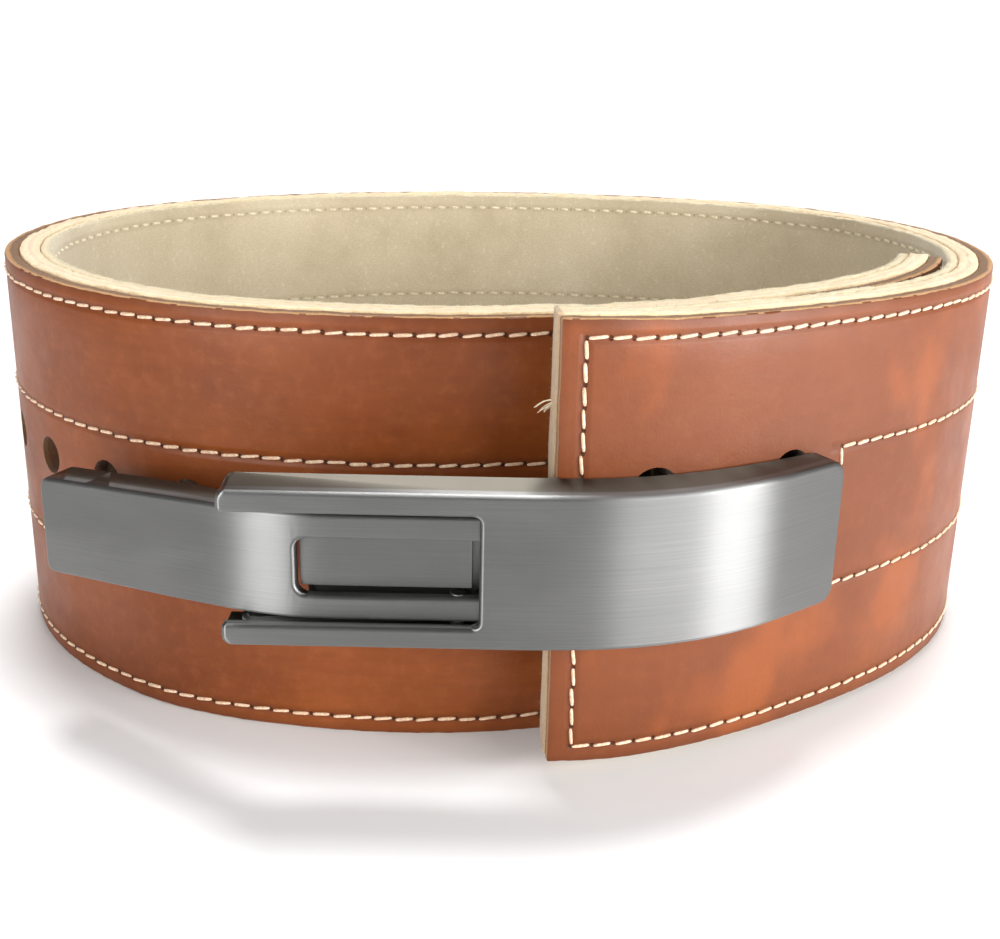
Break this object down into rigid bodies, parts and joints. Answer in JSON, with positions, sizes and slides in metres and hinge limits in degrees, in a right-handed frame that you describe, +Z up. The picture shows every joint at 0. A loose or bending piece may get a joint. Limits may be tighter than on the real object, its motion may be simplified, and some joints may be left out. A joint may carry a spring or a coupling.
{
  "type": "lever-buckle weightlifting belt",
  "caption": "Thick layered leather weightlifting belt closed into a loop by a curved steel lever buckle, standing on its lower edge.",
  "frame": {"origin": "on the ground under the middle of the belt's bounding box, where its lower edge stands", "axes": "+Z up across the strap's width, -Y towards the buckle in front, +X to the right seen from the front"},
  "size_m": [0.2712, 0.2296, 0.1065],
  "materials": {
    "grain_leather": "smooth waxed tan leather with a satin sheen",
    "split_leather": "raw cut split leather, fuzzy",
    "suede": "napped olive-beige suede",
    "thread": "waxed cream thread",
    "brushed_steel": "satin, brushed along the length",
    "pin_steel": "plain turned steel"
  },
  "bodies": {
    "belt": {"grain_ply": "grain_leather", "core_ply": "split_leather", "suede_lining": "suede", "mounting_plate": "brushed_steel", "base_pivot_upper": "pin_steel", "base_pivot_lower": "pin_steel", "mounting_screw_1": "pin_steel", "mounting_screw_2": "pin_steel", "mounting_screw_3": "pin_steel", "mounting_screw_4": "pin_steel"},
    "lever": {"lever_handle": "brushed_steel", "hook_pivot_upper": "pin_steel", "hook_pivot_lower": "pin_steel"},
    "hook": {"hook_plate": "brushed_steel"}
  },
  "joints": [
    {"name": "lever_hinge", "type": "hinge", "parent": "belt", "child": "lever", "pos_m": [-0.05044, -0.10865, 0.0557], "axis": [0, 0, -1], "range_deg": [0, 100]},
    {"name": "hook_hinge", "type": "hinge", "parent": "lever", "child": "hook", "pos_m": [-0.00844, -0.10865, 0.0557], "axis": [0, 0, -1], "range_deg": [-90, 0]}
  ],
  "couplings": [
    {"joint": "hook_hinge", "follows": "lever_hinge", "ratio": -0.9}
  ]
}
